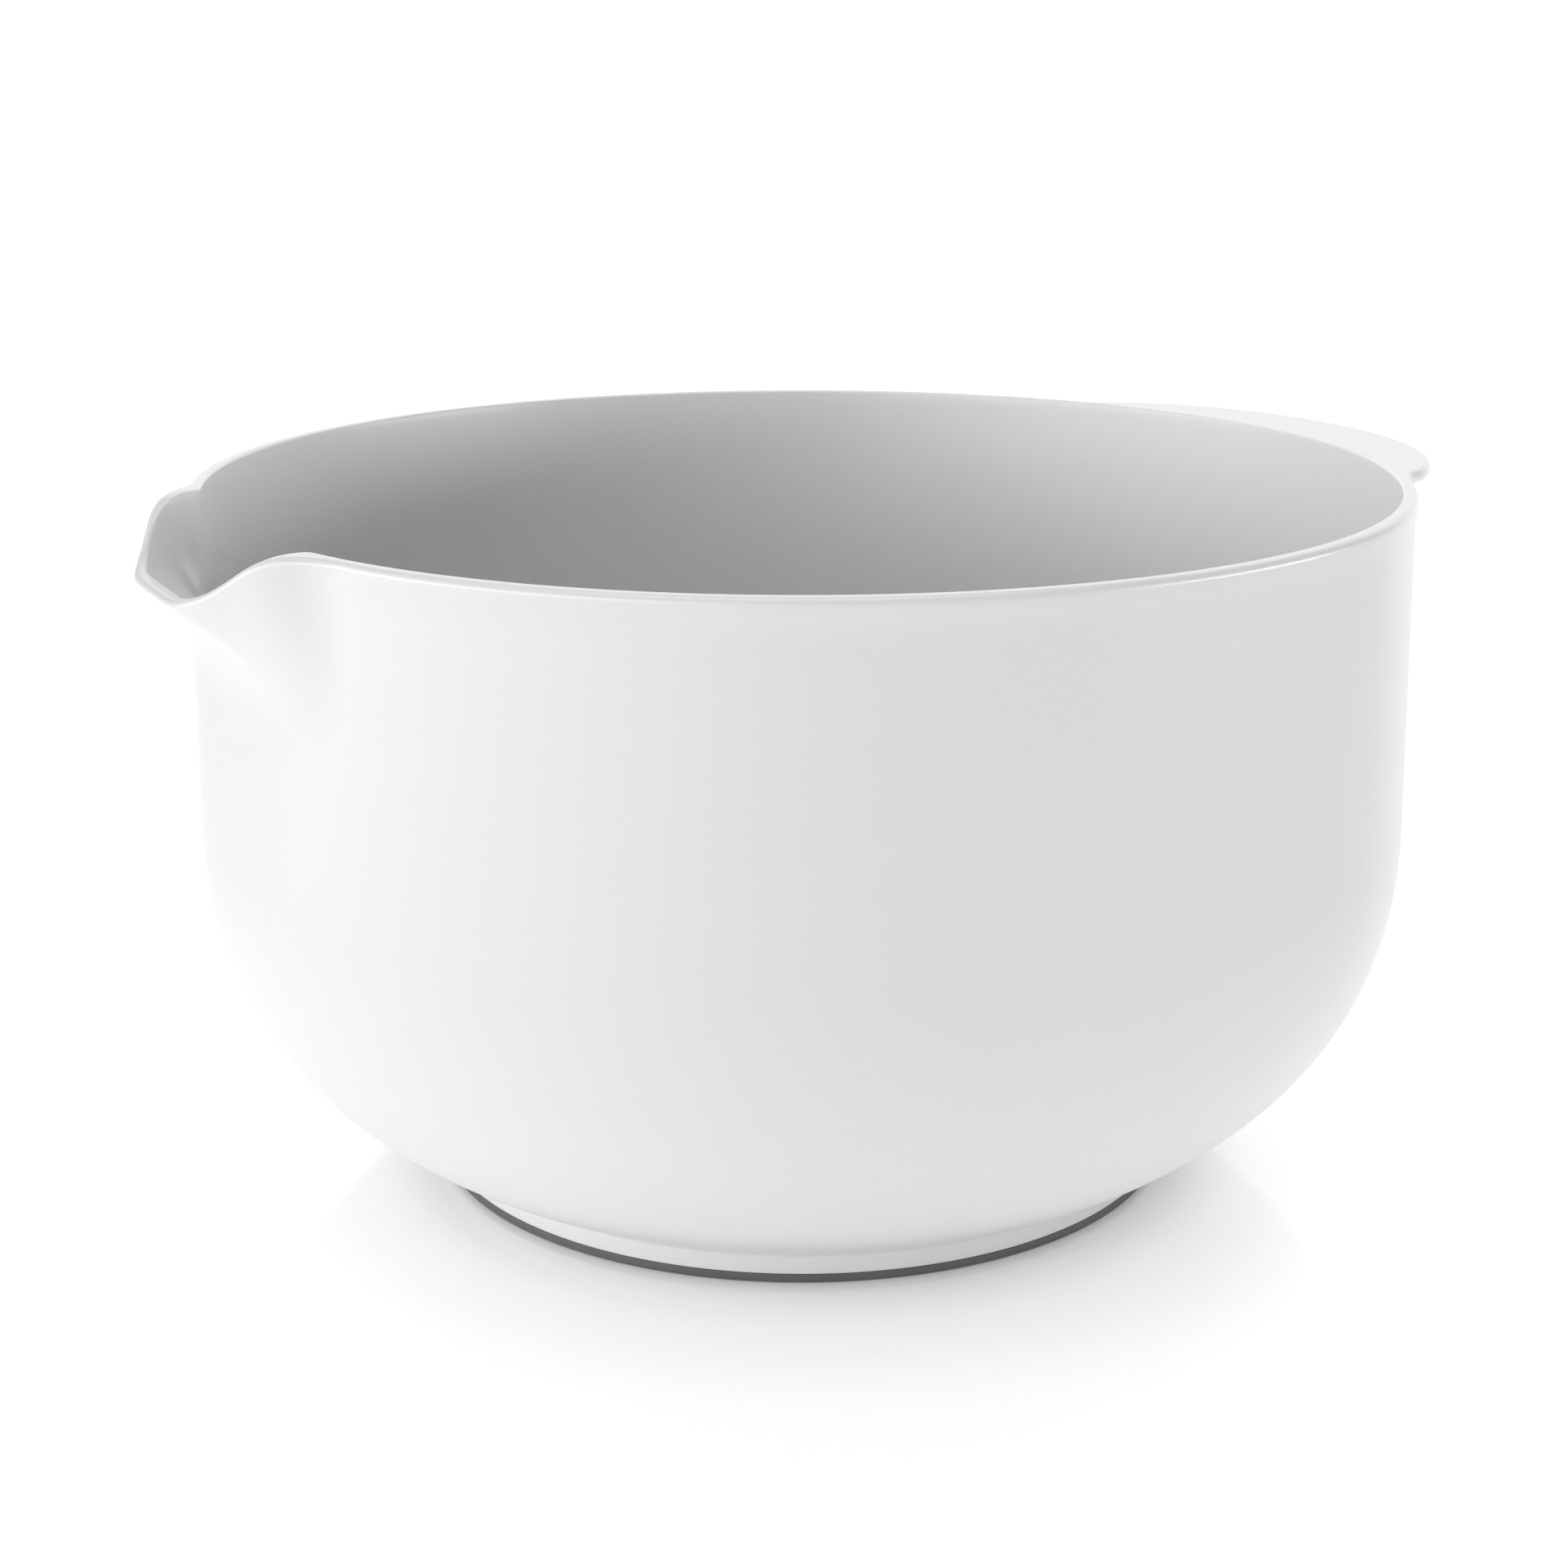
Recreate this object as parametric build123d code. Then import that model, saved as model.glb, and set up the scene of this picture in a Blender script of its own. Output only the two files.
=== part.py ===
from build123d import *
import math
import os

# A moulded mixing bowl with a pouring spout, a crescent grip and a rubber ring under its foot.
# Millimetres. The origin is the centre of the resting face, +Z is up through the mouth,
# the spout points along -X and the grip along +X.

# ---- Bowl: overall sizes -------------------------------------------------------------
rim_diameter = 245.0        # across the bead that runs round the rim
height = 140.0              # from the table to the flat top of the rim
foot_diameter = 150.0       # outside of the foot and of the ring under it

# ---- Bowl: wall and rim --------------------------------------------------------------
wall = 2.6                  # side wall
bead_proud = 0.5            # how far the bead stands out from the wall
bead_height = 3.0           # thickness of the bead and of the grip, top to underside
bead_round = 1.2            # rounding of the bead's and the grip's outer edges
rim_inner_round = 0.6       # rounding of the rim's inner edge
wall_draft = 0.4            # how much the straight wall leans out over its height
straight_wall = 66.7        # height of the straight wall, from the belly to the rim

# ---- Bowl: belly ---------------------------------------------------------------------
foot_top = 5.6              # height above the table where the belly meets the foot
belly_end_angle = 24.5      # slope of the belly where it meets the foot, degrees
belly_fullness_top = 0.455  # pull of the outside curve at the wall, share of the belly's height
belly_fullness_foot = 0.75  # pull of the outside curve at the foot, share of the belly's width

# ---- Bowl: inside floor --------------------------------------------------------------
floor_thickness = 3.4       # moulded floor over the recess
floor_flat_radius = 58.8    # flat middle of the inside floor
inside_fullness_top = 0.455  # pull of the inside curve at the wall, share of its height
inside_fullness_floor = 0.75  # pull of the inside curve over the foot, share of its width

# ---- Bowl: foot ----------------------------------------------------------------------
foot_width = 9.0            # radial width of the foot
recess_depth = 1.9          # recess inside the foot, above the ring's seat
groove_width = 3.0          # groove in the foot that holds the ring's tongue
groove_depth = 2.8          # from the seat up to the groove's ceiling
groove_inset = 2.8          # white wall left outside the groove

# ---- Non-slip ring -------------------------------------------------------------------
ring_tread = 1.7            # what shows below the foot, and what the bowl stands on
tongue_side_clearance = 0.0  # the rubber tongue fills the groove from side to side
tongue_top_clearance = 0.3  # air left above the tongue
ring_edge_round = 0.4       # rounding of the tread's edges on the table

# ---- Spout ---------------------------------------------------------------------------
spout_width = 71.2          # inside, between the two flanks
spout_nose = 30.0           # how far the rounded nose runs out past the flanks' ends
spout_reach = 13.3          # from the wall out to the lip's outer edge
spout_drop = 11.5           # from the rim down to the lip
spout_slope = 45.0          # slope of the spout's underside, degrees
lip_level = 22.0            # pull of the dip's curve at the lip, sideways
lip_shoulder = 5.0          # pull of the dip's curve at the rim, sideways

# ---- Grip ----------------------------------------------------------------------------
grip_reach = 15.5           # from the bead out to the middle of the grip
grip_depth = 40.0           # half width across of the oval that the grip is a slice of
grip_width = 120.0          # length of that oval, along the rim
grip_blend = 4.0            # hollow radius in plan where the grip runs into the bead

# ---- Worked out ----------------------------------------------------------------------
rim_radius = rim_diameter / 2
foot_radius = foot_diameter / 2
wall_radius = rim_radius - bead_proud
belly_top = height - straight_wall
belly_radius = wall_radius - wall_draft
inner_rim_radius = wall_radius - wall
seat = ring_tread
recess_ceiling = seat + recess_depth
inside_floor = recess_ceiling + floor_thickness
groove_outer = foot_radius - groove_inset
groove_inner = groove_outer - groove_width
side_margin = 0.9           # the dip starts this far out on the flanks' top faces
over = 10.0                 # how far cutting shapes run past what they cut


def slope(degrees, length):
    """A step of this length up and out at this angle, in the section's plane."""
    turn = math.radians(degrees)
    return (length * math.cos(turn), length * math.sin(turn))


def section(*lines):
    """A flat face in the XZ plane from lines drawn as radius and height."""
    return make_face([Plane.XZ * line for line in lines])


def revolved(*lines):
    """Turn a closed section round the bowl's axis."""
    return revolve(section(*lines), Axis.Z)


def outer_body():
    """The outside of the bowl from the foot's underside up into the bead, still solid."""
    bead_middle = height - bead_height / 2
    top_pull = belly_fullness_top * (belly_top - foot_top)
    foot_pull = belly_fullness_foot * (belly_radius - foot_radius)
    out, up = slope(belly_end_angle, foot_pull)
    belly = Bezier(
        (foot_radius, foot_top),
        (foot_radius + out, foot_top + up),
        (belly_radius, belly_top - top_pull),
        (belly_radius, belly_top),
    )
    return revolved(
        Polyline((0, bead_middle), (0, seat), (foot_radius, seat), (foot_radius, foot_top)),
        belly,
        Polyline((belly_radius, belly_top), (wall_radius, bead_middle), (0, bead_middle)),
    )


def rim_plate():
    """The bead and the grip as one plate: a disc and an oval that overlap, with blended corners."""
    grip_centre = rim_radius + grip_reach - grip_depth
    plan = Circle(rim_radius) + Pos(grip_centre, 0) * Ellipse(grip_depth, grip_width / 2)
    plan = fillet(plan.vertices().filter_by(lambda v: v.X > 0), grip_blend)
    plate = Pos(0, 0, height - bead_height) * extrude(plan, bead_height)
    edges = plate.edges().filter_by(GeomType.LINE, reverse=True)
    return fillet(edges, bead_round)


def cavity():
    """The inside of the bowl, one wall away from the belly, with the rounding of the rim's inner edge."""
    inner_belly = inner_rim_radius - wall_draft
    step_in, step_up = slope(belly_end_angle + 90, wall)
    heel = (foot_radius + step_in, foot_top + step_up)
    heel_pull = (heel[1] - inside_floor) / math.sin(math.radians(belly_end_angle))
    back, down = slope(belly_end_angle, heel_pull)
    out, up = slope(belly_end_angle, inside_fullness_floor * (inner_belly - heel[0]))
    top_pull = inside_fullness_top * (belly_top - heel[1])
    edge_bottom = (inner_rim_radius, height - rim_inner_round)
    edge_top = (inner_rim_radius + rim_inner_round, height)
    return revolved(
        Polyline((0, height + over), (0, inside_floor), (floor_flat_radius, inside_floor)),
        Bezier((floor_flat_radius, inside_floor), (heel[0] - back, heel[1] - down), heel),
        Bezier(heel, (heel[0] + out, heel[1] + up), (inner_belly, belly_top - top_pull), (inner_belly, belly_top)),
        Line((inner_belly, belly_top), edge_bottom),
        RadiusArc(edge_bottom, edge_top, rim_inner_round),
        Polyline(edge_top, (edge_top[0], height + over), (0, height + over)),
    )


# The spout is a rounded trough that slants down and inwards through the wall.
spout_skin = wall / math.sin(math.radians(spout_slope))
spout_centre = wall_radius + spout_reach - spout_nose - spout_skin
spout_low = (spout_reach + wall + 2 * wall_draft) * math.tan(math.radians(spout_slope))
spout_lean = spout_drop / math.tan(math.radians(spout_slope))


def trough(above_lip, end_skin, side_skin):
    """A slanting column with an oval section, from inside the bowl up to this height over the lip."""
    rise = spout_low + above_lip
    back = rise / math.tan(math.radians(spout_slope))
    bottom_centre = spout_centre - spout_low / math.tan(math.radians(spout_slope))
    oval = Ellipse(spout_nose + end_skin, spout_width / 2 + side_skin)
    oval = Pos(-bottom_centre, 0, height - spout_drop - spout_low) * oval
    return extrude(oval, math.hypot(rise, back), dir=(-back, 0, rise))


def lip_cut():
    """Everything above the lip: seen along the spout, the edge dips in an S-curve on each side."""
    lip = height - spout_drop
    half = spout_width / 2 + side_margin
    lines = [
        Bezier((side * half, height), (side * (half - lip_shoulder), height), (side * lip_level, lip), (0, lip))
        for side in (-1, 1)
    ]
    lid = Polyline((-half, height), (-half, height + over), (half, height + over), (half, height))
    face = make_face([Plane.YZ * line for line in (*lines, lid)])
    length = wall_radius + spout_reach + spout_lean + over
    return Pos(-length, 0, 0) * extrude(face, length - spout_centre)


def foot_cuts():
    """The recess under the floor and the groove for the ring's tongue."""
    recess = Pos(0, 0, -over) * Cylinder(
        foot_radius - foot_width, recess_ceiling + over, align=(Align.CENTER, Align.CENTER, Align.MIN)
    )
    groove = band(groove_inner, groove_outer, seat, seat + groove_depth)
    return recess + groove


def band(inner, outer, low, high):
    """A plain ring between two radii and two heights."""
    return revolved(Polyline((inner, low), (outer, low), (outer, high), (inner, high), close=True))


def make_bowl():
    body = outer_body() + rim_plate() + trough(spout_drop, spout_skin, wall)
    hollow = cavity() + trough(spout_drop + over, 0, 0)
    return body - hollow - lip_cut() - foot_cuts()


def make_ring():
    """The tread that shows under the foot, with the tongue that fills the groove."""
    tread = band(foot_radius - foot_width, foot_radius, 0, seat)
    tread = fillet(tread.edges().group_by(Axis.Z)[0], ring_edge_round)
    tongue = band(
        groove_inner + tongue_side_clearance,
        groove_outer - tongue_side_clearance,
        seat,
        seat + groove_depth - tongue_top_clearance,
    )
    return tread + tongue


def write(node, shape):
    solids = shape.solids()
    if len(solids) != 1:
        raise ValueError(f"{node} came out as {len(solids)} solids")
    solid = solids[0]
    solid.label = node
    export_step(solid, f"parts/{node}.step")
    box = solid.bounding_box()
    print(node, round(solid.volume), "mm3", [round(v, 2) for v in (*box.min, *box.max)])


os.makedirs("parts", exist_ok=True)
write("bowl", make_bowl())
write("non_slip_ring", make_ring())
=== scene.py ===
"""The mixing bowl's visual model: a white moulded bowl with a pouring spout and a crescent grip,
standing on a dark rubber ring, on a pale studio floor."""

import math

import bpy
import numpy as np
from mathutils import Matrix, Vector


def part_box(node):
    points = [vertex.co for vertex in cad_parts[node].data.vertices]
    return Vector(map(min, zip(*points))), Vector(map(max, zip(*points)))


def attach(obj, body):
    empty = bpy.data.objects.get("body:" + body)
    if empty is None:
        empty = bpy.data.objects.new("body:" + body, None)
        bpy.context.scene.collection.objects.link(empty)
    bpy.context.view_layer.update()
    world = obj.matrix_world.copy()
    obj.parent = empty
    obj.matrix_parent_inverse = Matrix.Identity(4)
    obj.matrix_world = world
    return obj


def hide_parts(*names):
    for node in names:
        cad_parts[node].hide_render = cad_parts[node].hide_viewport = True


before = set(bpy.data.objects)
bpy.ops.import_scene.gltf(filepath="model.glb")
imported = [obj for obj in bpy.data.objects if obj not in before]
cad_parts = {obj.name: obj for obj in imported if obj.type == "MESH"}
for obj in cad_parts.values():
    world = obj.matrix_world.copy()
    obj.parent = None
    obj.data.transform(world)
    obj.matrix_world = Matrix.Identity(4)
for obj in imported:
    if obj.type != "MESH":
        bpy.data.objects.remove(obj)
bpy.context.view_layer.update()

bl_info = {
    "name": "Mixing bowl",
    "version": (1, 0, 0),
    "blender": (4, 5, 0),
    "location": "3D View > Sidebar > Bowl",
    "description": "Makes a moulded mixing bowl, its non-slip ring and a plain studio",
    "category": "Add Mesh",
}

MM = 0.001
BOWL_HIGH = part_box("bowl")[1]
RING_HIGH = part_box("non_slip_ring")[1]


# ---- Properties ----------------------------------------------------------------------

def length(name, description, default):
    """A length property in metres."""
    return bpy.props.FloatProperty(
        name=name, description=description, default=default, unit="LENGTH", precision=5)


def angle(name, description, degrees):
    """An angle property, given in degrees and kept in radians."""
    return bpy.props.FloatProperty(
        name=name, description=description, default=math.radians(degrees), subtype="ANGLE")


def number(name, description, default):
    """A plain number property."""
    return bpy.props.FloatProperty(name=name, description=description, default=default, precision=4)


def colour(name, description, default):
    """A linear colour property."""
    return bpy.props.FloatVectorProperty(
        name=name, description=description, default=default, subtype="COLOR", size=3, min=0, max=1)


class BowlShape(bpy.types.PropertyGroup):
    rim_radius: length("Rim radius", "Over the bead that runs round the rim", BOWL_HIGH.y)
    height: length("Height", "From the table to the flat top of the rim", BOWL_HIGH.z)
    wall: length("Wall", "Thickness of the straight wall", 2.6 * MM)
    wall_draft: length("Wall draft", "How far the straight wall leans out over its height", 0.4 * MM)
    straight: length("Straight wall", "Height of the straight wall under the rim", 66.7 * MM)
    bead_proud: length("Bead stands out", "How far the bead stands out from the wall", 0.5 * MM)
    bead_height: length("Bead height", "Thickness of the bead and of the grip", 3.0 * MM)
    bead_round: length("Bead rounding", "Rounding of the bead's and the grip's edges", 1.25 * MM)
    bead_fade: length("Bead fade", "Height over which the bead's underside runs out", 3.2 * MM)
    grip_hollow: length("Grip hollow", "Hollow rounding between the grip and the wall", 0.8 * MM)
    rim_inner_round: length("Inner rounding", "Rounding of the rim's inner edge", 0.6 * MM)
    belly_angle: angle("Belly angle", "Slope of the belly where it meets the foot", 24.5)
    belly_top_pull: number("Belly pull at the wall", "Share of the belly's height", 0.455)
    belly_foot_pull: number("Belly pull at the foot", "Share of the belly's width", 0.75)
    floor_height: length("Inside floor", "From the table to the inside floor", 7.0 * MM)
    floor_flat: length("Flat floor radius", "Flat middle of the inside floor", 58.8 * MM)
    heel_round: length("Heel rounding", "Run of the curve from the flat floor to the belly", 12.0 * MM)
    foot_top: length("Foot top", "Height where the belly meets the foot", 5.6 * MM)
    foot_fillet: length("Foot fillet", "Hollow rounding between the foot and the belly", 1.3 * MM)
    foot_edge: length("Foot edge", "Rounding of the foot's lower edges", 0.3 * MM)
    recess_ceiling: length("Recess ceiling", "Height of the recess under the floor", 3.6 * MM)


class SpoutShape(bpy.types.PropertyGroup):
    half_width: length("Half width", "From the middle to the inside of a flank", 35.0 * MM)
    flank_end: length("Flank end", "From the bowl's axis to where the nose starts", 112.2 * MM)
    nose: length("Nose", "From the flank's end to the inside of the nose", 19.4 * MM)
    nose_power: number("Nose power", "Roundness of the nose in plan: 2 is an ellipse", 2.27)
    skin: length("Skin", "Thickness of the spout's wall", 2.5 * MM)
    slope: angle("Slope", "Slope of the floor that runs up to the lip", 44.0)
    lip_crease: length("Lip crease", "From the bowl's axis to the crease at the lip", 130.8 * MM)
    lip_drop: length("Lip drop", "From the rim down to the lip", 11.4 * MM)
    dip_flatness: number("Dip flatness", "Higher values make the lip's middle flatter", 3.6)
    dip_shoulder: number("Dip shoulder", "Higher values start the dip more gently", 2.3)
    corner_round: length("Corner rounding", "Rounding of the edge between wall and flank", 1.4 * MM)
    outside_hollow: length("Outside hollow", "Width of the hollow beside the spout", 10.0 * MM)
    under_hollow: length("Under hollow", "Width of the hollow under the spout", 9.0 * MM)
    under_slope: angle("Underside slope", "Slope of the underside that runs up to the lip", 36.0)
    trough_round: length("Trough rounding", "Rounding inside between flank and floor", 9.0 * MM)
    keel_round: length("Keel rounding", "Rounding outside between flank and underside", 16.0 * MM)
    reach_down: length("Reach down", "Depth below the rim that the spout's rows cover", 46.0 * MM)


class GripShape(bpy.types.PropertyGroup):
    reach: length("Reach", "From the bead to the middle of the grip", BOWL_HIGH.x - BOWL_HIGH.y)
    depth: length("Depth", "Half width across of the oval that the grip is a slice of", 40.0 * MM)
    width: length("Width", "Length of that oval, along the rim", 120.0 * MM)
    blend: length("Blend", "Width of the hollow where the grip runs into the bead", 2.5 * MM)


class RingShape(bpy.types.PropertyGroup):
    radius: length("Radius", "Outside of the ring and of the foot", RING_HIGH.x)
    tread: length("Tread", "What shows below the foot", 1.7 * MM)
    width: length("Width", "Radial width of the ring and of the foot", 9.0 * MM)
    tongue_inset: length("Tongue inset", "From the ring's outside to its tongue", 2.8 * MM)
    tongue_width: length("Tongue width", "Radial width of the tongue and its groove", 3.0 * MM)
    tongue_top: length("Tongue top", "Height of the tongue's top above the table", RING_HIGH.z)
    tongue_air: length("Tongue air", "Air left above the tongue", 0.3 * MM)
    edge: length("Edge", "Rounding of the tread's edges", 0.35 * MM)


class Finish(bpy.types.PropertyGroup):
    white: colour("Moulding", "Colour of the white moulding", (0.72, 0.72, 0.718))
    white_gloss: number("Moulding roughness", "Roughness of the satin moulding", 0.3)
    rubber: colour("Rubber", "Colour of the ring", (0.105, 0.106, 0.108))
    rubber_gloss: number("Rubber roughness", "Roughness of the ring", 0.62)


class Studio(bpy.types.PropertyGroup):
    turn: angle("Turn", "Turn of the camera and the lights about the bowl's axis", 27.3)
    distance: length("Distance", "From the bowl's axis to the camera, level", 0.565)
    camera_height: length("Camera height", "Above the table", 0.2349)
    tilt: angle("Tilt", "How far the camera looks down", 10.237)
    lens: number("Lens", "Focal length on a 36 mm wide sensor", 64.857)
    shift_x: number("Shift x", "Sideways shift, share of the width", -0.0113)
    shift_y: number("Shift y", "Upward shift, share of the width", -0.1771)
    right: number("Right strip", "Brightness of the low strip to the right", 12.2)
    left: number("Left panel", "Brightness of the panel to the left", 5.1)
    front: number("Front panel", "Brightness of the panel to the left of the camera", 4.9)
    back: number("Back wall", "Brightness of the wall behind the bowl", 1.35)
    top: number("Top panel", "Brightness of the panel overhead", 2.1)
    room: number("Room", "Brightness of the room's walls", 0.12)
    # floor_glow is the floor's own emission. shade_from and shade_to bound the painted contact shadow
    # where that glow fades to black.
    floor_glow: number("Floor glow", "Light from within the pale acrylic floor", 0.36)
    shade_from: length("Shade from", "Radius of the unlit middle of the floor", 0.064)
    shade_to: length("Shade to", "Radius at which the floor glows fully", 0.096)


GROUPS = {
    "bowl_shape": BowlShape,
    "spout_shape": SpoutShape,
    "grip_shape": GripShape,
    "ring_shape": RingShape,
    "bowl_finish": Finish,
    "bowl_studio": Studio,
}


# ---- Surfaces ------------------------------------------------------------------------

def smooth_min(a, b, width):
    """The lower of two distances, with the crossing rounded: a quadratic blend over the width."""
    mix = np.clip(0.5 + 0.5 * (b - a) / width, 0, 1)
    return b * (1 - mix) + a * mix - width * mix * (1 - mix)


def smooth_max(a, b, width):
    """The higher of two distances, with the crossing rounded."""
    return -smooth_min(-a, -b, width)


def smooth_step(x):
    """0 to 1 with level ends: three x squared less two x cubed."""
    x = np.clip(x, 0, 1)
    return x * x * (3 - 2 * x)


def bezier(p0, p1, p2, p3, count):
    """Points of a cubic curve through p0 and p3, pulled towards p1 and p2, ends included."""
    t = np.linspace(0, 1, count)[:, None]
    p0, p1, p2, p3 = (np.array(p, float) for p in (p0, p1, p2, p3))
    return (1 - t) ** 3 * p0 + 3 * (1 - t) ** 2 * t * p1 + 3 * (1 - t) * t**2 * p2 + t**3 * p3


def quarter(turn):
    """How far a quarter round is in from its side and down from its top at a turn, as shares."""
    return 1 - np.cos(turn), 1 - np.sin(turn)


def arc(centre, radius, start, end, count):
    """Points of a circular arc between two angles in degrees, ends included."""
    a = np.radians(np.linspace(start, end, count))
    return np.stack([centre[0] + radius * np.cos(a), centre[1] + radius * np.sin(a)], 1)


def closed_skin(name, rows):
    """A closed mesh from rows of points: each row runs once round, and the first and last rows
    shrink to a pole each. Face k of a band joins points k and k + 1 of two rows."""
    rows = np.asarray(rows)
    count, around = rows.shape[:2]
    poles = np.stack([rows[0].mean(0), rows[-1].mean(0)])
    body = rows[1:-1]
    verts = np.concatenate([body.reshape(-1, 3), poles])
    bands = count - 3
    k = np.arange(around)
    following = (k + 1) % around
    start = np.arange(bands)[:, None] * around
    above = start + around
    quads = np.stack([start + k, start + following, above + following, above + k], -1)
    first, last = len(verts) - 2, len(verts) - 1
    end = bands * around
    caps = np.concatenate([
        np.stack([np.full(around, first), following, k], 1),
        np.stack([np.full(around, last), end + k, end + following], 1),
    ])
    corners = np.concatenate([quads.reshape(-1), caps.reshape(-1)])
    sizes = np.concatenate([np.full(bands * around, 4), np.full(2 * around, 3)])
    return mesh_piece(name, verts, corners, sizes)


def closed_ring(name, profile, around):
    """A closed ring from a closed outline of radius and height: x = r cos a, y = r sin a."""
    a = np.linspace(0, 2 * np.pi, around, endpoint=False)
    r, z = profile[:, :1], profile[:, 1:]
    verts = np.stack([r * np.cos(a), r * np.sin(a), z + 0 * a], -1).reshape(-1, 3)
    j = np.arange(len(profile))[:, None] * around
    j_next = (np.arange(len(profile))[:, None] + 1) % len(profile) * around
    k = np.arange(around)
    k_next = (k + 1) % around
    quads = np.stack([j + k, j + k_next, j_next + k_next, j_next + k], -1)
    return mesh_piece(name, verts, quads.reshape(-1), np.full(quads.shape[0] * around, 4))


def mesh_piece(name, verts, corners, sizes):
    """An object at the origin from points, the corners of all faces in order, and face sizes."""
    mesh = bpy.data.meshes.new(name)
    mesh.vertices.add(len(verts))
    mesh.vertices.foreach_set("co", np.ascontiguousarray(verts, np.float32).reshape(-1))
    mesh.loops.add(len(corners))
    mesh.loops.foreach_set("vertex_index", corners.astype(np.int32))
    mesh.polygons.add(len(sizes))
    starts = np.concatenate([[0], np.cumsum(sizes)[:-1]])
    mesh.polygons.foreach_set("loop_start", starts.astype(np.int32))
    mesh.update(calc_edges=True)
    mesh.validate()
    mesh.polygons.foreach_set("use_smooth", np.ones(len(mesh.polygons), bool))
    piece = bpy.data.objects.new(name, mesh)
    bpy.context.scene.collection.objects.link(piece)
    return piece


# ---- The bowl ------------------------------------------------------------------------

class BowlSurface:
    """The bowl's surface as rows of points, from the inside floor over the rim to the underside.

    Each column is a ray in plan. Away from the spout the rays leave the bowl's axis. At the spout
    they fan out from a point in front of it, so that they cross its flanks nearly square on.
    The distance out along a ray is where a distance field is zero: the wall joined to the spout."""

    def __init__(self, scene):
        self.bowl, self.spout = scene.bowl_shape, scene.spout_shape
        self.grip, self.ring = scene.grip_shape, scene.ring_shape
        b = self.bowl
        self.wall_out = b.rim_radius - b.bead_proud
        self.wall_in = self.wall_out - b.wall
        self.belly_top = b.height - b.straight
        # The height down to which rows follow the spout, and the angle at which its flanks leave
        # the wall, seen from the bowl's axis.
        self.spout_low = b.height - self.spout.reach_down
        self.corner = math.asin(self.spout.half_width / self.wall_in)
        self.make_columns()

    def make_columns(self):
        """Ray origins and directions, from the spout's middle round to it again."""
        corner = self.corner
        fan = 92.0 * MM  # from the bowl's axis to the point that the spout's rays leave
        spread = math.atan2(self.spout.half_width, self.wall_in * math.cos(corner) - fan)
        # The columns crowd together on both sides of the edge between wall and flank.
        close = np.radians([0.35, 0.7, 1.1, 1.6, 2.3, 3.2])
        crowded = 0.075
        even = np.linspace(0, spread - crowded, 42)
        inside = np.concatenate([even, spread - close[::-1], [spread]])
        near = corner + np.radians([0.13, 0.26, 0.42, 0.62, 0.9, 1.25, 1.7])
        fan_end = corner + math.radians(15)
        beside = np.linspace(near[-1] + math.radians(0.55), fan_end, 24)
        grip_end = math.pi - math.radians(38)
        plain = np.linspace(fan_end, grip_end, 66)[1:]
        gripped = np.linspace(grip_end, math.pi, 60)[1:]
        turn = np.concatenate([near, beside, plain, gripped])
        origin = fan * (1 - smooth_step((turn - corner) / (fan_end - corner)))
        wall_point = self.wall_in * np.stack([np.cos(turn), np.sin(turn)], 1)
        aim = np.arctan2(wall_point[:, 1], wall_point[:, 0] - origin)
        origin = np.concatenate([np.full(len(inside), fan), origin])
        aim = np.concatenate([inside, aim])
        # The other half is the mirror image, without the two columns on the middle plane.
        self.origin = np.concatenate([origin, origin[-2:0:-1]])
        self.aim = np.concatenate([aim, -aim[-2:0:-1]])

    def place(self, out, z):
        """Points at distances out along the rays, at heights z. The spout points along -X."""
        u = self.origin + out * np.cos(self.aim)
        v = out * np.sin(self.aim)
        return np.stack([-u, -v, np.broadcast_to(z, u.shape)], -1)

    def solve(self, field, z):
        """The distance out along each ray at which the field turns positive, by halving."""
        z = np.broadcast_to(z, np.broadcast(z, self.aim).shape)
        low = np.zeros(z.shape)
        high = np.full(z.shape, 170 * MM)
        for _ in range(26):
            middle = (low + high) / 2
            u = self.origin + middle * np.cos(self.aim)
            inside = field(u, middle * np.sin(self.aim), z) < 0
            low, high = np.where(inside, middle, low), np.where(inside, high, middle)
        return (low + high) / 2

    def trough(self, u, v, z, corner, slope):
        """Distance to the inside of the spout: a rounded oval in plan, cut by the sloping floor
        with a rounding at the flanks."""
        s = self.spout
        p = s.nose_power
        a = np.maximum(u - s.flank_end, 0) / s.nose
        b = np.abs(v) / s.half_width
        f = np.maximum((a**p + b**p) ** (1 / p), 1e-6)
        steep = np.hypot(a ** (p - 1) / s.nose, b ** (p - 1) / s.half_width) * f ** (1 - p)
        oval = (f - 1) / np.maximum(steep, 0.5 / s.half_width)
        crease = self.bowl.height - s.lip_drop
        ramp = (u - s.lip_crease) * math.sin(slope) - (z - crease) * math.cos(slope)
        # The rounding is slight in the middle and grows to the corner's own towards the flanks.
        share = smooth_step((b - 0.35) / 0.55)
        return np.maximum(smooth_max(oval, ramp, 0.8 * MM + share * corner), -u)

    def lean(self, z):
        """How far the straight wall leans in at a height."""
        return self.bowl.wall_draft * (self.bowl.height - z) / self.bowl.straight

    def inside(self, u, v, z):
        """Distance to the air inside the bowl and the spout."""
        wall = np.hypot(u, v) - (self.wall_in - self.lean(z))
        return smooth_min(wall, self.trough(u, v, z, self.spout.trough_round, self.spout.slope),
                          self.spout.corner_round)

    def outside(self, u, v, z):
        """Distance to the moulding's outside: the wall joined to the spout by a soft hollow."""
        wall = np.hypot(u, v) - (self.wall_out - self.lean(z))
        s = self.spout
        # The hollow changes from the one under the spout to the one beside it.
        beside = smooth_step((np.abs(v) / s.half_width - 0.45) / 0.5)
        hollow = s.under_hollow + beside * (s.outside_hollow - s.under_hollow)
        return smooth_min(wall, self.trough(u, v, z, s.keel_round, s.under_slope) - s.skin, hollow)

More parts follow.
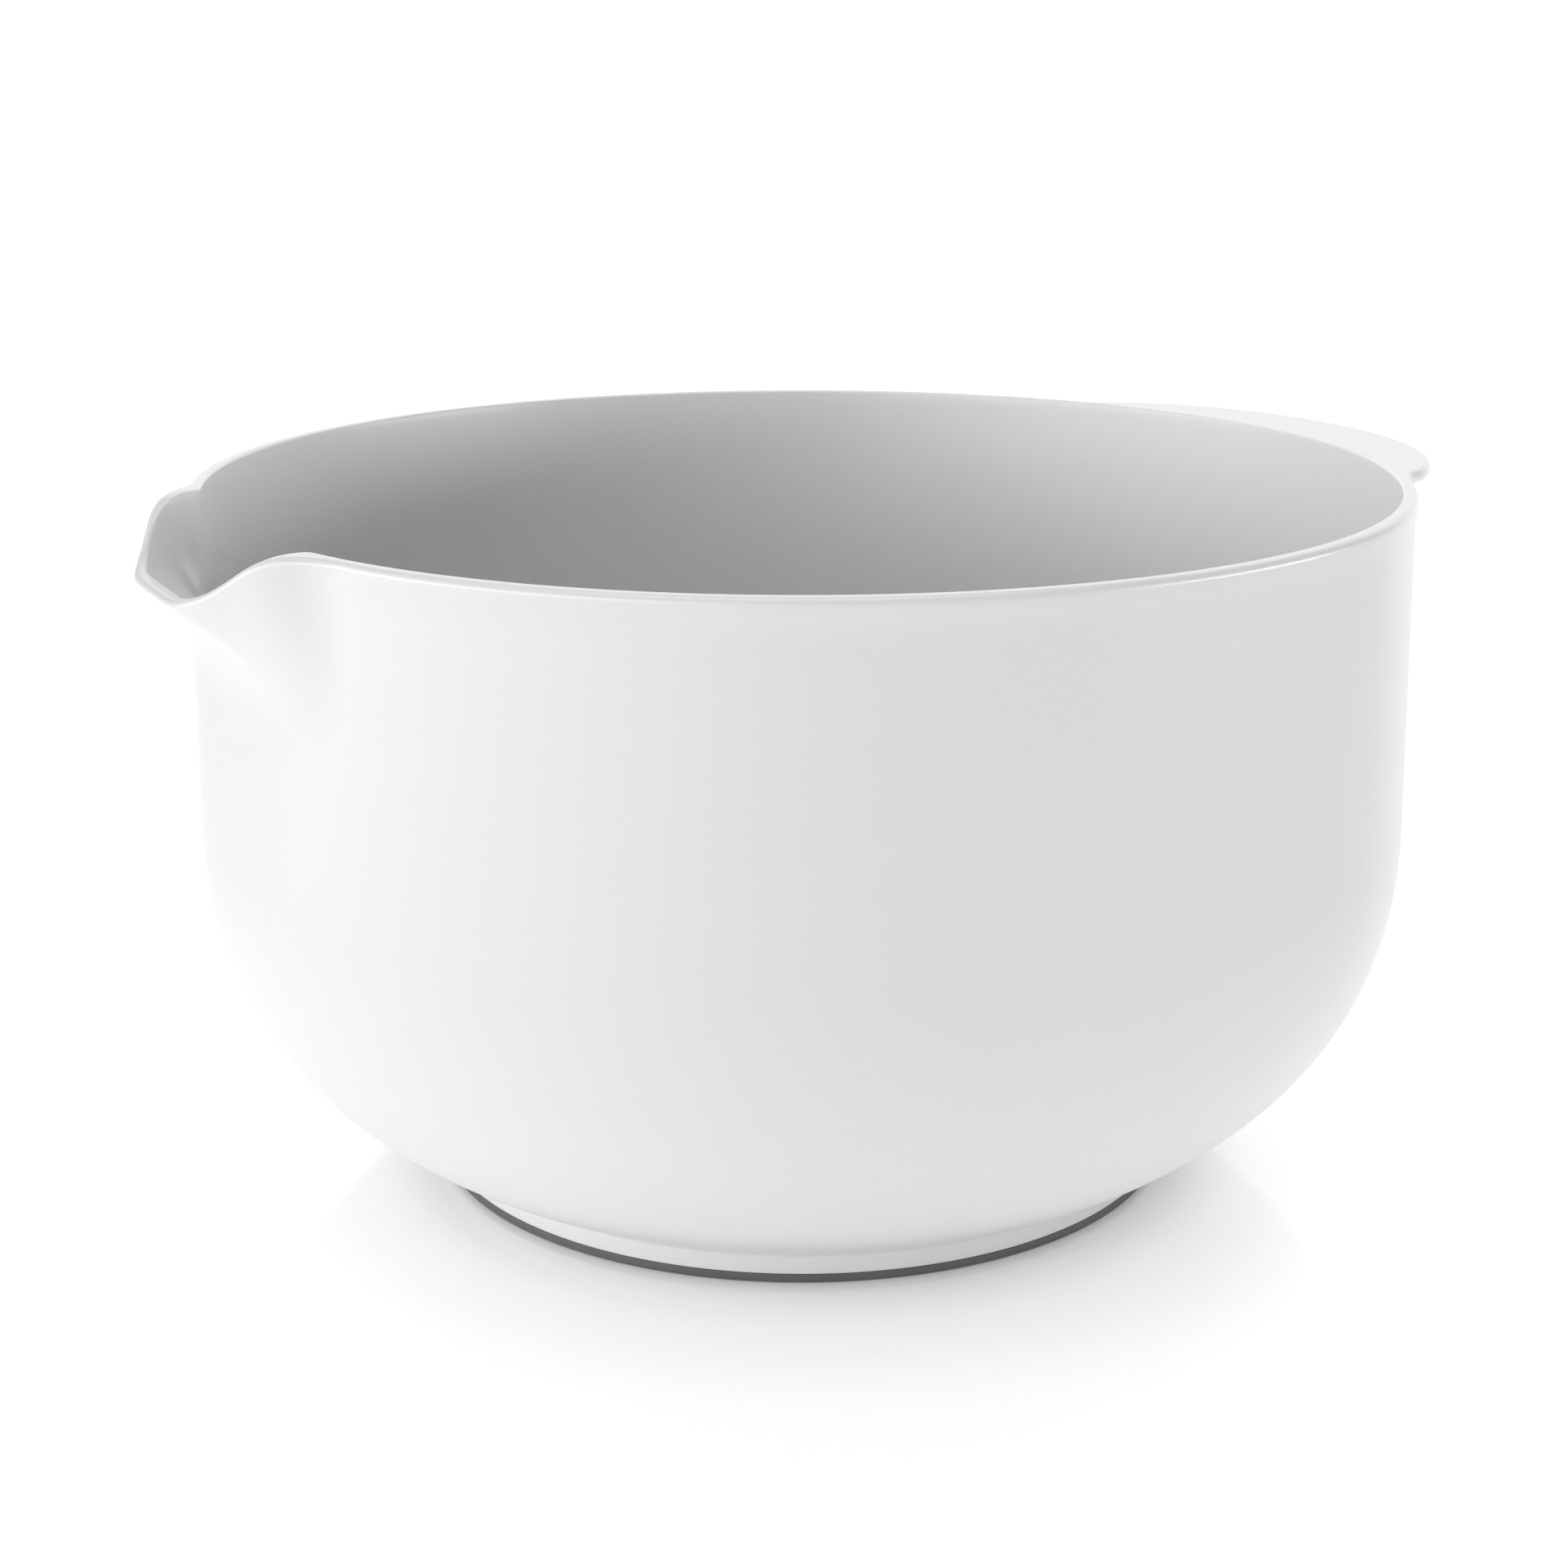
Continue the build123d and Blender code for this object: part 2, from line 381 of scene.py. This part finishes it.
    def rim_edge(self, u, v, z):
        """Distance to the outer edge of the bead and the grip, in plan."""
        g = self.grip
        bead = self.outside(u, v, z) - self.bowl.bead_proud
        a = 1 - (self.bowl.rim_radius + g.reach + u) / g.depth
        b = 2 * v / g.width
        f = np.maximum(np.hypot(a, b), 1e-6)
        grip = (f - 1) * f / np.maximum(np.hypot(a / g.depth, 2 * b / g.width), 1e-6)
        return smooth_min(bead, grip, g.blend)

    def crest(self):
        """The rim's height on each ray: it dips to the lip as (1 - x^flatness)^shoulder, where x
        runs from 0 in the spout's middle to 1 where its flanks leave the wall."""
        s = self.spout
        reach = self.solve(self.inside, self.bowl.height - s.lip_drop / 2)
        x = np.clip(np.abs(self.angle_at(reach)) / self.corner, 0, 1)
        return self.bowl.height - s.lip_drop * (1 - x**s.dip_flatness) ** s.dip_shoulder

    def revolved(self, profile, turn):
        """Rows of points on a surface of revolution, at each column's own angle."""
        r, z = profile[:, :1], profile[:, 1:]
        return np.stack([-r * np.cos(turn), -r * np.sin(turn), z + 0 * turn], -1)

    def angle_at(self, out):
        """The angle about the bowl's axis of a point this far out along each ray."""
        return np.arctan2(out * np.sin(self.aim), self.origin + out * np.cos(self.aim))

    def fan_rows(self, field, top, middle, bottom, above, below):
        """Rows between three heights per column, packed closer round the middle one."""
        top, middle, bottom = np.broadcast_arrays(top, middle, bottom, self.aim)[:3]
        t = np.sin(np.linspace(0, np.pi / 2, above))[:, None]
        upper = top + (middle - top) * t
        t = (1 - np.cos(np.linspace(0, np.pi / 2, below)))[1:, None]
        lower = middle + (bottom - middle) * t
        z = np.concatenate([upper, lower])
        return self.place(self.solve(field, z), z)

    def inner_rows(self, crest):
        """The inside: flat floor, rounded belly, straight wall and the spout's trough."""
        b, s, low = self.bowl, self.spout, self.spout_low
        wall = self.solve(self.inside, low)
        inner_belly = self.wall_in - b.wall_draft
        floor = np.stack([np.linspace(0, b.floor_flat, 9), np.full(9, b.floor_height)], 1)
        cos, sin = math.cos(b.belly_angle), math.sin(b.belly_angle)
        heel = np.array([self.ring.radius - b.wall * sin, b.foot_top + b.wall * cos])
        rise = heel[1] - b.floor_height
        pull = b.belly_foot_pull * (inner_belly - heel[0])
        pull_down = b.belly_top_pull * (self.belly_top - heel[1])
        bend_pull = b.floor_flat + b.heel_round * 0.6
        bend = bezier((b.floor_flat, b.floor_height), (bend_pull, b.floor_height),
                      (heel[0] - rise / math.tan(b.belly_angle), b.floor_height), heel, 12)
        belly = bezier(heel, heel + (pull * cos, pull * sin),
                       (inner_belly, self.belly_top - pull_down), (inner_belly, self.belly_top), 26)
        z = np.linspace(self.belly_top, low, 6)[1:-1]
        straight = np.stack([self.wall_in - self.lean(z), z], 1)
        profile = np.concatenate([floor, bend[1:], belly[1:], straight])
        # The crease where the trough's floor leaves the wall, carried on level beyond the flanks.
        u = np.minimum(self.origin + wall * np.cos(self.aim), s.lip_crease)
        crease = b.height - s.lip_drop + (u - s.lip_crease) * math.tan(s.slope)
        deepest = b.height - 30 * MM
        crease = np.maximum(crease, deepest)
        upper = self.fan_rows(self.inside, crest - b.rim_inner_round, crease, low, 28, 12)
        return np.concatenate([self.revolved(profile, self.angle_at(wall)), upper[::-1]])

    def rim_rows(self, crest):
        """The rim's section on each ray: inner rounding, flat top, rounded bead or grip, and the
        underside back to the wall."""
        b = self.bowl
        inner = self.solve(self.inside, crest - b.rim_inner_round)
        outer = self.solve(self.rim_edge, crest - b.bead_height / 2)
        under = self.solve(self.outside, crest - b.bead_height)
        inner_round, outer_round = b.rim_inner_round, b.bead_round
        # Round the spout, and easing off beside it, the rim's outside is the spout's own.
        side = np.abs(self.angle_at(inner)) / self.corner
        follow = 1 - smooth_step((side - 1.0) / 0.6)
        outer = outer + (self.solve(self.outside, crest - outer_round) - outer) * follow
        flat = (outer - outer_round) - (inner + inner_round)
        rows = []
        for turn in np.radians([15, 30, 45, 60, 75, 90]):
            inward, down = quarter(turn)
            rows.append((inner + inner_round * inward, crest - inner_round * down))
        for share in (0.12, 0.35, 0.65, 0.88):
            rows.append((inner + inner_round + flat * share, crest + 0 * flat))
        for turn in np.radians([90, 75, 60, 45, 30, 15, 0]):
            inward, down = quarter(turn)
            rows.append((outer - outer_round * inward, crest - outer_round * down))
        low = crest - b.bead_height
        proud = outer - under
        lower, hollow = np.minimum(outer_round, proud * 0.75), np.minimum(b.grip_hollow, proud * 0.25)
        flange = []
        for turn in np.radians([0, 18, 36, 54, 72, 90]):
            inward, up = quarter(turn)
            flange.append((outer - lower * inward, low + outer_round * up))
        gap = proud - lower - hollow
        for share in (0.7, 0.3, 0.0):
            flange.append((under + hollow + gap * share, low + 0 * gap))
        grip_proud = 8 * b.grip_hollow
        gripped = smooth_step(proud / grip_proud)
        drop = b.bead_fade + (b.grip_hollow - b.bead_fade) * gripped
        for turn in np.radians([20, 40, 60, 75, 90]):
            down, outward = quarter(turn)
            flange.append((under + hollow * outward, low - drop * down))
        # Under the grip the section is that flange. Elsewhere the bead runs out in a gentle S,
        # and round the spout the section follows the spout's own outside.
        soft = np.maximum(1 - gripped, follow)
        depth = b.bead_height + drop - outer_round
        for step, (out, z) in enumerate(flange):
            share = (step + 1) / len(flange)
            z = z + (crest - outer_round - depth * share - z) * soft
            eased = outer - proud * smooth_step(share)
            eased = eased + (self.solve(self.outside, z) - eased) * follow
            rows.append((out + (eased - out) * soft, z))
        return np.stack([self.place(out, z) for out, z in rows])

    def outer_rows(self, crest):
        """The outside: the spout's hollow, the straight wall and the belly, down to the foot."""
        b, g, low = self.bowl, self.ring, self.spout_low
        turn = self.angle_at(self.solve(self.outside, low))
        top = crest - b.bead_height - b.bead_fade - 0.3 * MM
        spout_end = b.height - 27 * MM
        wall = self.fan_rows(self.outside, top, spout_end, low, 26, 16)
        outer_belly = self.wall_out - b.wall_draft
        z = np.linspace(low, self.belly_top, 6)[1:-1]
        straight = np.stack([self.wall_out - self.lean(z), z], 1)
        pull_out = b.belly_foot_pull * (outer_belly - g.radius)
        pull_down = b.belly_top_pull * (self.belly_top - b.foot_top)
        belly = bezier((outer_belly, self.belly_top), (outer_belly, self.belly_top - pull_down),
                       (g.radius + pull_out * math.cos(b.belly_angle),
                        b.foot_top + pull_out * math.sin(b.belly_angle)),
                       (g.radius, b.foot_top), 38)
        profile = np.concatenate([straight, self.rounded_foot(belly)])
        return np.concatenate([wall, self.revolved(profile, turn)])

    def rounded_foot(self, belly):
        """The belly's end, the hollow fillet, the foot's outside, the groove and the recess."""
        b, g = self.bowl, self.ring
        seat, edge = g.tread, b.foot_edge
        half = (math.pi / 2 - b.belly_angle) / 2
        back = b.foot_fillet * math.tan(half)
        start = g.radius + back * math.cos(b.belly_angle)
        belly = belly[belly[:, 0] > start + 0.3 * MM]
        centre = (g.radius + b.foot_fillet, b.foot_top - back)
        fillet = arc(centre, b.foot_fillet, 90 + math.degrees(b.belly_angle), 180, 7)
        groove_out, groove_in = g.radius - g.tongue_inset, g.radius - g.tongue_inset - g.tongue_width
        groove_top = g.tongue_top + g.tongue_air
        inner = g.radius - g.width
        corner = 0.8 * MM
        return np.concatenate([
            belly, fillet,
            [(g.radius, seat + edge * 2)],
            arc((g.radius - edge, seat + edge), edge, 0, -90, 5),
            [(groove_out, seat), (groove_out, groove_top), (groove_in, groove_top), (groove_in, seat)],
            arc((inner + edge, seat + edge), edge, -90, -180, 5),
            arc((inner - corner, b.recess_ceiling - corner), corner, 0, 90, 6),
            np.stack([np.linspace(inner - 3 * corner, 0, 10), np.full(10, b.recess_ceiling)], 1),
        ])

    def rows(self):
        """All rows, from the middle of the inside floor to the middle of the underside."""
        crest = self.crest()
        return np.concatenate([self.inner_rows(crest), self.rim_rows(crest), self.outer_rows(crest)])


# ---- Materials -----------------------------------------------------------------------

class Socket:
    """A node's output, with the arithmetic that the materials use."""

    def __init__(self, tree, output):
        self.tree, self.output = tree, output

    def math(self, operation, *values):
        return self.tree.node("ShaderNodeMath", {"operation": operation}, dict(enumerate(values)))

    def __add__(self, other):
        return self.math("ADD", self, other)

    def __radd__(self, other):
        return self.math("ADD", other, self)

    def __sub__(self, other):
        return self.math("SUBTRACT", self, other)

    def __rsub__(self, other):
        return self.math("SUBTRACT", other, self)

    def __mul__(self, other):
        return self.math("MULTIPLY", self, other)

    def __rmul__(self, other):
        return self.math("MULTIPLY", other, self)


class Tree:
    """A node tree that grows by calls: settings first, then the values or links of its sockets."""

    def __init__(self, owner):
        owner.use_nodes = True
        self.nodes, self.links = owner.node_tree.nodes, owner.node_tree.links
        self.nodes.clear()

    def node(self, kind, settings=None, inputs=None, output=0):
        made = self.nodes.new(kind)
        for key, value in (settings or {}).items():
            setattr(made, key, value)
        for key, value in (inputs or {}).items():
            if isinstance(value, Socket):
                self.links.new(value.output, made.inputs[key])
            else:
                made.inputs[key].default_value = value
        return Socket(self, made.outputs[output]) if made.outputs else None

    def noise(self, place, scale, detail):
        return self.node("ShaderNodeTexNoise", None,
                         {"Vector": place, "Scale": scale, "Detail": detail})

    def mix(self, share, a, b):
        """A colour between two, by a share."""
        return self.node("ShaderNodeMix", {"data_type": "RGBA"}, {0: share, 6: a, 7: b}, output=2)

    def bump(self, height, distance, strength):
        return self.node("ShaderNodeBump", None,
                         {"Height": height, "Distance": distance, "Strength": strength})

    def surface(self, shader):
        self.node("ShaderNodeOutputMaterial", None, {"Surface": shader})


def shade(rgb, factor):
    """A colour scaled by a factor, with its alpha."""
    return tuple(min(1.0, c * factor) for c in rgb) + (1.0,)


def moulding_material(finish):
    """Satin white melamine: a faint cloudiness in colour and gloss, and the mould's fine texture."""
    material = bpy.data.materials.new("white_moulding")
    tree = Tree(material)
    place = tree.node("ShaderNodeTexCoord", output=3)
    cloud = tree.noise(place, 18.0, detail=3.0)
    grain = tree.noise(place, 1400.0, detail=1.0)
    ripple = tree.noise(place, 160.0, detail=2.0)
    tint = tree.mix(cloud, shade(finish.white, 0.985), shade(finish.white, 1.012))
    height = grain * 0.75 + ripple * 0.25
    shader = tree.node("ShaderNodeBsdfPrincipled", None, {
        "Base Color": tint,
        "Roughness": cloud * 0.05 + grain * 0.03 + (finish.white_gloss - 0.04),
        "IOR": 1.6,
        "Normal": tree.bump(height, 0.02 * MM, 0.35),
    })
    tree.surface(shader)
    return material


def rubber_material(finish):
    """Matt dark rubber: dusty mottling and a fine pebbled skin."""
    material = bpy.data.materials.new("dark_rubber")
    tree = Tree(material)
    place = tree.node("ShaderNodeTexCoord", output=3)
    dust = tree.noise(place, 90.0, detail=4.0)
    pebble = tree.noise(place, 2200.0, detail=2.0)
    tint = tree.mix(dust, shade(finish.rubber, 0.85), shade(finish.rubber, 1.2))
    shader = tree.node("ShaderNodeBsdfPrincipled", None, {
        "Base Color": tint,
        "Roughness": dust * 0.12 + (finish.rubber_gloss - 0.06),
        "IOR": 1.45,
        "Normal": tree.bump(pebble, 0.04 * MM, 0.5),
    })
    tree.surface(shader)
    return material


def floor_material(studio):
    """Pale gloss floor that glows by emission, with the glow fading to black under the middle, where
    the bowl stands: a painted contact shadow.
    """
    material = bpy.data.materials.new("studio_floor")
    tree = Tree(material)
    place = tree.node("ShaderNodeTexCoord", output=3)
    out = tree.node("ShaderNodeVectorMath", {"operation": "LENGTH"}, {0: place}, output=1)
    # The emission colour runs from black inside shade_from to white beyond shade_to. This is painted
    # contact shadow round the bowl's foot.
    share = tree.node("ShaderNodeMapRange", {"interpolation_type": "SMOOTHSTEP"}, {
        "Value": out, "From Min": studio.shade_from, "From Max": studio.shade_to})
    shader = tree.node("ShaderNodeBsdfPrincipled", None, {
        "Base Color": (0.82, 0.82, 0.82, 1.0),
        "Roughness": 0.08,
        "IOR": 1.45,
        "Emission Color": tree.mix(share, (0.0, 0.0, 0.0, 1.0), (1.0, 1.0, 1.0, 1.0)),
        "Emission Strength": studio.floor_glow,
    })
    tree.surface(shader)
    return material


# ---- Operators -----------------------------------------------------------------------

def finish_piece(piece, material, node):
    """Gives a piece its material and its body, and hides the CAD node that it stands for."""
    piece.data.materials.append(material)
    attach(piece, "root")
    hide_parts(node)


class BOWL_OT_moulding(bpy.types.Operator):
    """Makes the white moulding: bowl, bead, spout, grip and foot in one skin"""
    bl_idname = "bowl.moulding"
    bl_label = "White moulding"

    def execute(self, context):
        rows = BowlSurface(context.scene).rows()
        piece = closed_skin("moulded_bowl", rows)
        finish_piece(piece, moulding_material(context.scene.bowl_finish), "bowl")
        return {"FINISHED"}


class BOWL_OT_ring(bpy.types.Operator):
    """Makes the dark rubber ring with the tongue that sits in the foot's groove"""
    bl_idname = "bowl.ring"
    bl_label = "Non-slip ring"

    def execute(self, context):
        g = context.scene.ring_shape
        inner, edge = g.radius - g.width, g.edge
        tongue_out = g.radius - g.tongue_inset
        tongue_in = tongue_out - g.tongue_width
        soft = 0.2 * MM  # rounding of the edges against the foot
        outline = np.concatenate([
            arc((g.radius - edge, edge), edge, -90, 0, 6),
            arc((g.radius - soft, g.tread - soft), soft, 0, 90, 4),
            [(tongue_out, g.tread)],
            arc((tongue_out - soft, g.tongue_top - soft), soft, 0, 90, 4),
            arc((tongue_in + soft, g.tongue_top - soft), soft, 90, 180, 4),
            [(tongue_in, g.tread)],
            arc((inner + soft, g.tread - soft), soft, 90, 180, 4),
            arc((inner + edge, edge), edge, 180, 270, 6),
        ])
        piece = closed_ring("rubber_ring", outline, 256)
        finish_piece(piece, rubber_material(context.scene.bowl_finish), "non_slip_ring")
        return {"FINISHED"}


# Each soft panel's middle and its size, as bearing and rise in degrees. The one overhead is wider
# than a full turn, so that its ends never show.
PANELS = {
    "right": ((-7, 3.5), (44, 7)),
    "left": ((195, 9), (60, 18)),
    "front": ((240, 9), (30, 18)),
    "back": ((80, 20), (70, 60)),
    "top": ((0, 90), (800, 56)),
}


def softbox(bearing, rise, place, size, strength):
    """The light of a soft panel in the room's wall, from bearings and rises in radians: its
    strength inside the panel, easing to nothing over its edge."""
    widest = math.radians(4)
    share = strength
    for direction, centre, span in zip((bearing, rise), place, size):
        off = direction.math("WRAP", direction - math.radians(centre), math.pi, -math.pi)
        off = off.math("ABSOLUTE", off)
        half = math.radians(span / 2)
        soft = min(widest, half * 0.3)
        edge = off.tree.node("ShaderNodeMapRange", {"interpolation_type": "SMOOTHSTEP"}, {
            "Value": off, "From Min": half - soft, "From Max": half + soft, "To Min": 1, "To Max": 0})
        share = share * edge
    return share


class BOWL_OT_stage(bpy.types.Operator):
    """Makes the floor, the soft studio light and the camera"""
    bl_idname = "bowl.stage"
    bl_label = "Studio"

    def execute(self, context):
        studio = context.scene.bowl_studio
        self.floor(studio)
        self.room(studio)
        self.camera(studio)
        context.scene.view_settings.view_transform = "Standard"
        return {"FINISHED"}

    def floor(self, studio):
        reach = 12.0
        sides = np.array([(-1, -1, 0), (1, -1, 0), (1, 1, 0), (-1, 1, 0)])
        floor = mesh_piece("floor", reach * sides, np.arange(4), np.array([4]))
        floor.data.materials.append(floor_material(studio))

    def room(self, studio):
        """A dark room with soft panels, placed by bearing and rise in degrees as seen from the
        bowl: 0 is to the camera's right, 90 straight away from it and 180 to its left."""
        world = bpy.data.worlds.new("studio_room")
        bpy.context.scene.world = world
        tree = Tree(world)
        direction = tree.node("ShaderNodeVectorRotate", {"rotation_type": "Z_AXIS"}, {
            "Vector": tree.node("ShaderNodeTexCoord"), "Angle": studio.turn})
        right = tree.node("ShaderNodeSeparateXYZ", None, {0: direction}, output=0)
        away = tree.node("ShaderNodeSeparateXYZ", None, {0: direction}, output=1)
        up = tree.node("ShaderNodeSeparateXYZ", None, {0: direction}, output=2)
        bearing, rise = away.math("ARCTAN2", away, right), up.math("ARCSINE", up)
        light = studio.room
        for panel, (place, size) in PANELS.items():
            light = light + softbox(bearing, rise, place, size, getattr(studio, panel))
        sky = tree.node("ShaderNodeBackground", None, {
            "Color": (1.0, 1.0, 1.0, 1.0), "Strength": light})
        tree.node("ShaderNodeOutputWorld", None, {"Surface": sky})

    def camera(self, studio):
        data = bpy.data.cameras.new("studio_camera")
        data.sensor_width = 36.0
        data.lens = studio.lens
        data.shift_x, data.shift_y = studio.shift_x, studio.shift_y
        data.clip_start, data.clip_end = 0.01, 100.0
        camera = bpy.data.objects.new("studio_camera", data)
        bpy.context.scene.collection.objects.link(camera)
        place = Matrix.Translation((0, -studio.distance, studio.camera_height))
        look = Matrix.Rotation(math.pi / 2 - studio.tilt, 4, "X")
        camera.matrix_world = Matrix.Rotation(-studio.turn, 4, "Z") @ place @ look
        bpy.context.scene.camera = camera


class BOWL_PT_panel(bpy.types.Panel):
    """Lists the bowl's pieces and its studio"""
    bl_label = "Mixing bowl"
    bl_idname = "BOWL_PT_panel"
    bl_space_type = "VIEW_3D"
    bl_region_type = "UI"
    bl_category = "Bowl"

    def draw(self, context):
        for operator in OPERATORS:
            self.layout.operator(operator.bl_idname)
        for name in GROUPS:
            box = self.layout.box()
            group = getattr(context.scene, name)
            for key in group.__annotations__:
                box.prop(group, key)


OPERATORS = (BOWL_OT_moulding, BOWL_OT_ring, BOWL_OT_stage)
CLASSES = (*GROUPS.values(), *OPERATORS, BOWL_PT_panel)


def register():
    for cls in CLASSES:
        bpy.utils.register_class(cls)
    for name, group in GROUPS.items():
        setattr(bpy.types.Scene, name, bpy.props.PointerProperty(type=group))


def unregister():
    for name in GROUPS:
        delattr(bpy.types.Scene, name)
    for cls in reversed(CLASSES):
        bpy.utils.unregister_class(cls)


def main():
    register()
    bpy.ops.bowl.moulding()
    bpy.ops.bowl.ring()
    bpy.ops.bowl.stage()


if __name__ == "__main__":
    main()
